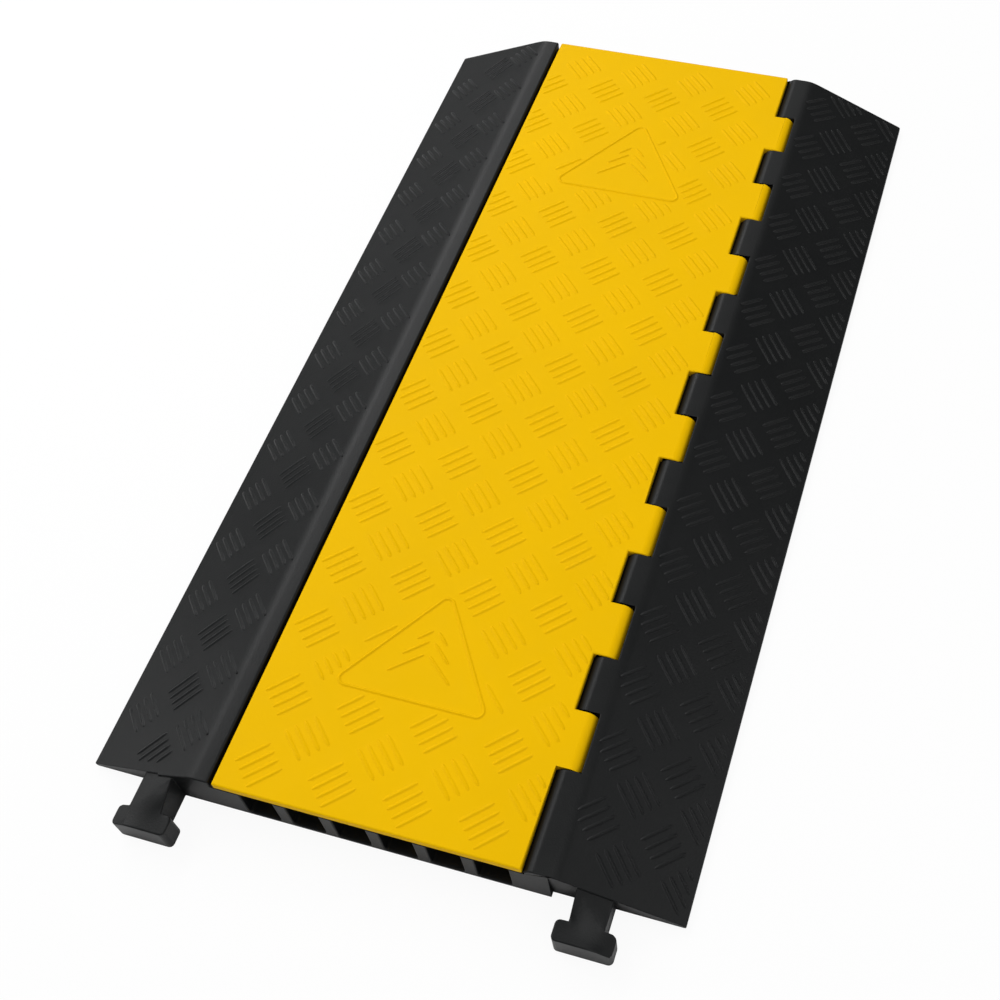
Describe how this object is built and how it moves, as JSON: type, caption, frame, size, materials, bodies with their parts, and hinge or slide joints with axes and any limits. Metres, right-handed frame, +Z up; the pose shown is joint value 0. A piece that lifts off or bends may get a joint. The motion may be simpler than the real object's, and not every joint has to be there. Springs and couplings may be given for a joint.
{
  "type": "floor cord cover",
  "caption": "Rubber floor ramp with side-by-side cable channels under a hinged plastic lid, and interlocking end connectors.",
  "frame": {"origin": "on the floor, under the middle of the bounding box", "axes": "+X across the ramps towards the hinge side, +Y along the channels away from the connectors, +Z up"},
  "size_m": [0.5, 0.956, 0.047],
  "materials": {
    "black_rubber": "matte moulded",
    "yellow_plastic": "satin moulded",
    "steel": "plain"
  },
  "bodies": {
    "base": {"base": "black_rubber", "hinge_rod": "steel"},
    "lid": {"lid": "yellow_plastic"}
  },
  "joints": [
    {"name": "lid_hinge", "type": "hinge", "parent": "base", "child": "lid", "pos_m": [0.1344, 0.022, 0.0373], "axis": [0, 1, 0], "range_deg": [0, 90]}
  ]
}
